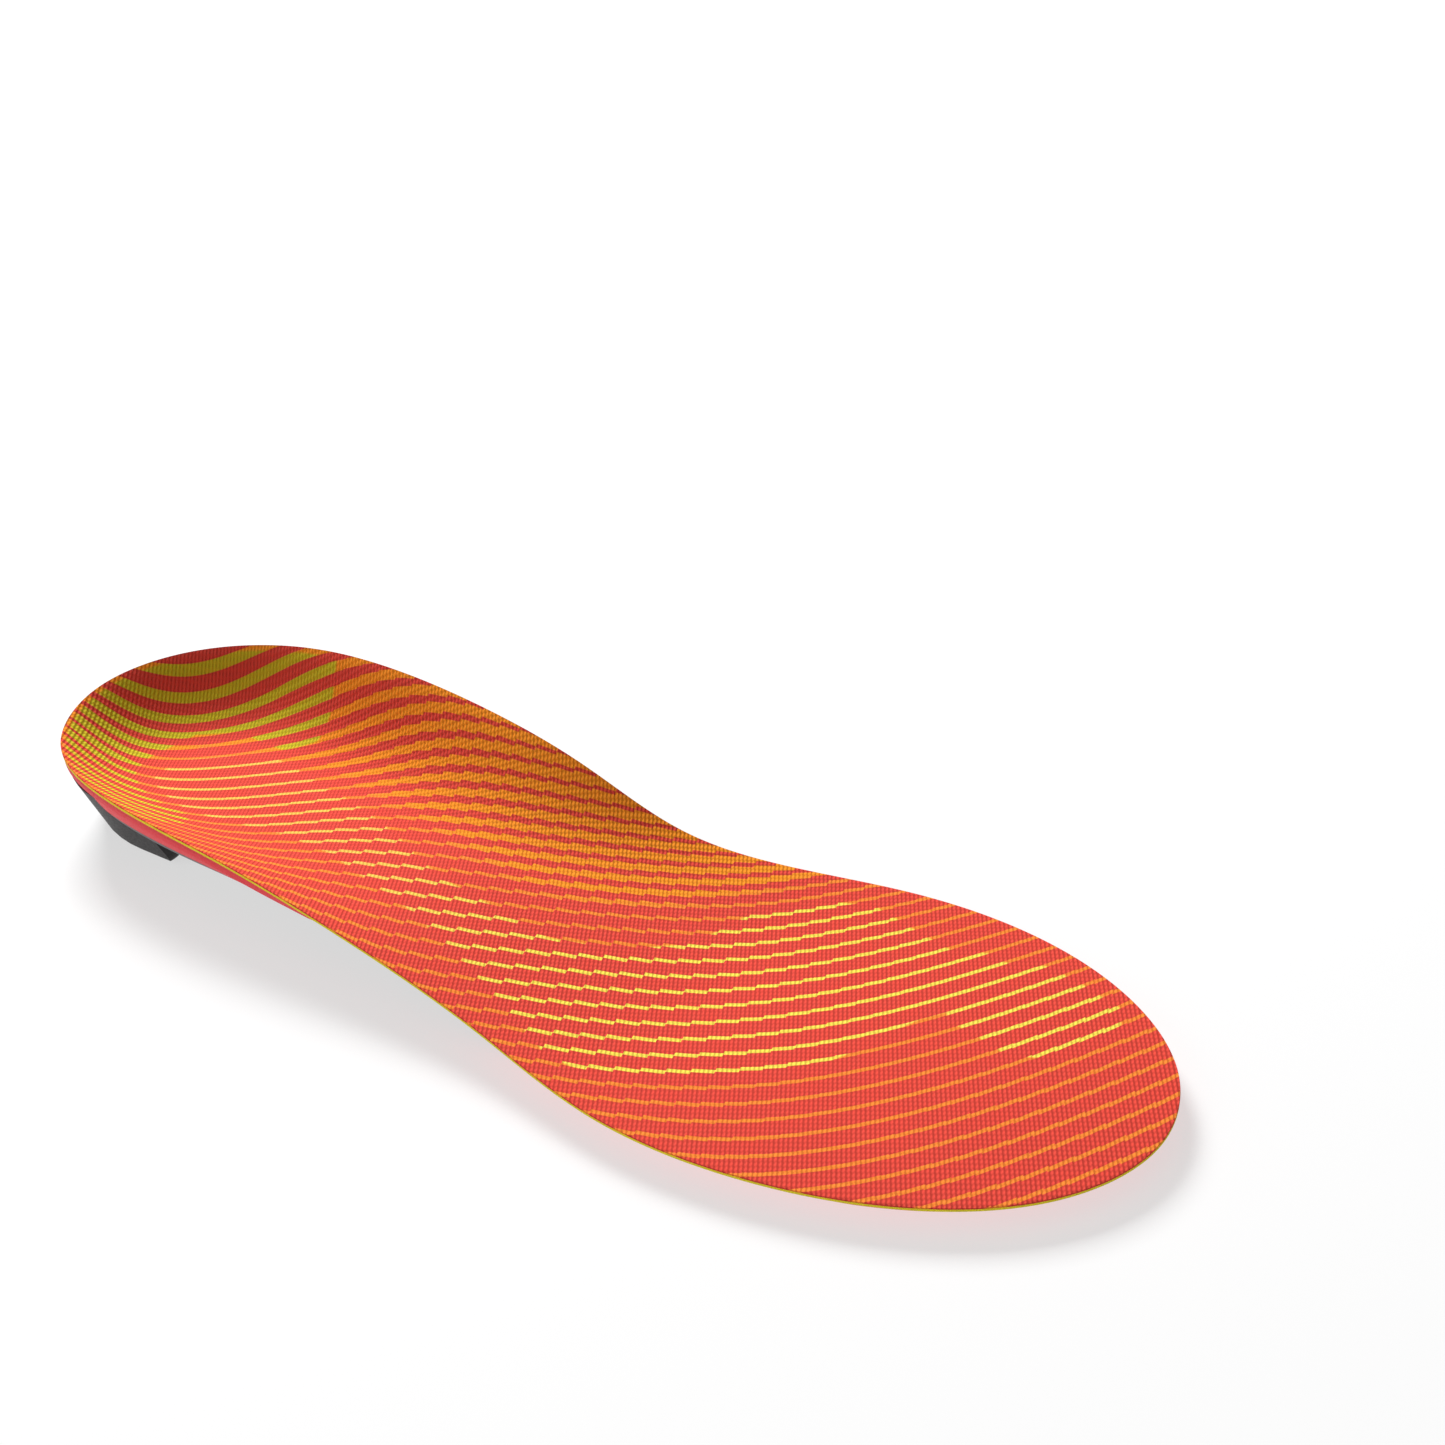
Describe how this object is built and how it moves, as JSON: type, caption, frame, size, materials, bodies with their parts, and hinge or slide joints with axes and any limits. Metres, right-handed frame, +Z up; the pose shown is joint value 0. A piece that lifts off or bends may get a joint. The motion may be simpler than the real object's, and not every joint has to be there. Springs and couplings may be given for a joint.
{
  "type": "cushioned insole",
  "caption": "Full-length cushioned shoe insole: contoured knit-covered foam with a raised arch and heel cup, a stiff shell under heel and arch, a soft heel horseshoe and grooved forefoot pods.",
  "frame": {"origin": "centre of the insole's footprint, on the flat surface it stands on", "axes": "+X from the heel to the toes, +Y to the inner (big-toe) side of this right insole, +Z up through the foot bed"},
  "size_m": [0.2956, 0.0986, 0.0313],
  "materials": {
    "knit_cover": "matte polyester knit, coral red with orange and yellow stepped stripes",
    "cushion_foam": "soft open-cell foam, red",
    "base_foam": "moulded closed-cell foam with a fine skin, red",
    "heel_gel": "soft shock-absorbing elastomer, orange",
    "grey_nylon": "moulded nylon, charcoal grey, satin",
    "tinted_nylon": "moulded nylon, brownish charcoal, satin",
    "black_foam": "dense moulded foam, near black"
  },
  "bodies": {
    "rear": {"top_cover_rear": "knit_cover", "cushion_foam_rear": "cushion_foam", "base_foam_rear": "base_foam", "ball_pod": "base_foam", "heel_pad": "heel_gel", "stabiliser_shell": "grey_nylon", "arch_inlay": "tinted_nylon", "heel_horseshoe": "black_foam"},
    "toe": {"top_cover_toe": "knit_cover", "cushion_foam_toe": "cushion_foam", "base_foam_toe": "base_foam"}
  },
  "joints": [
    {"name": "toe_flex", "type": "hinge", "parent": "rear", "child": "toe", "pos_m": [0.0777, -0.0036, 0.0068], "axis": [-0.4472, -0.8944, 0], "range_deg": [0, 35], "stiffness_Nm_per_rad": 0.08}
  ]
}
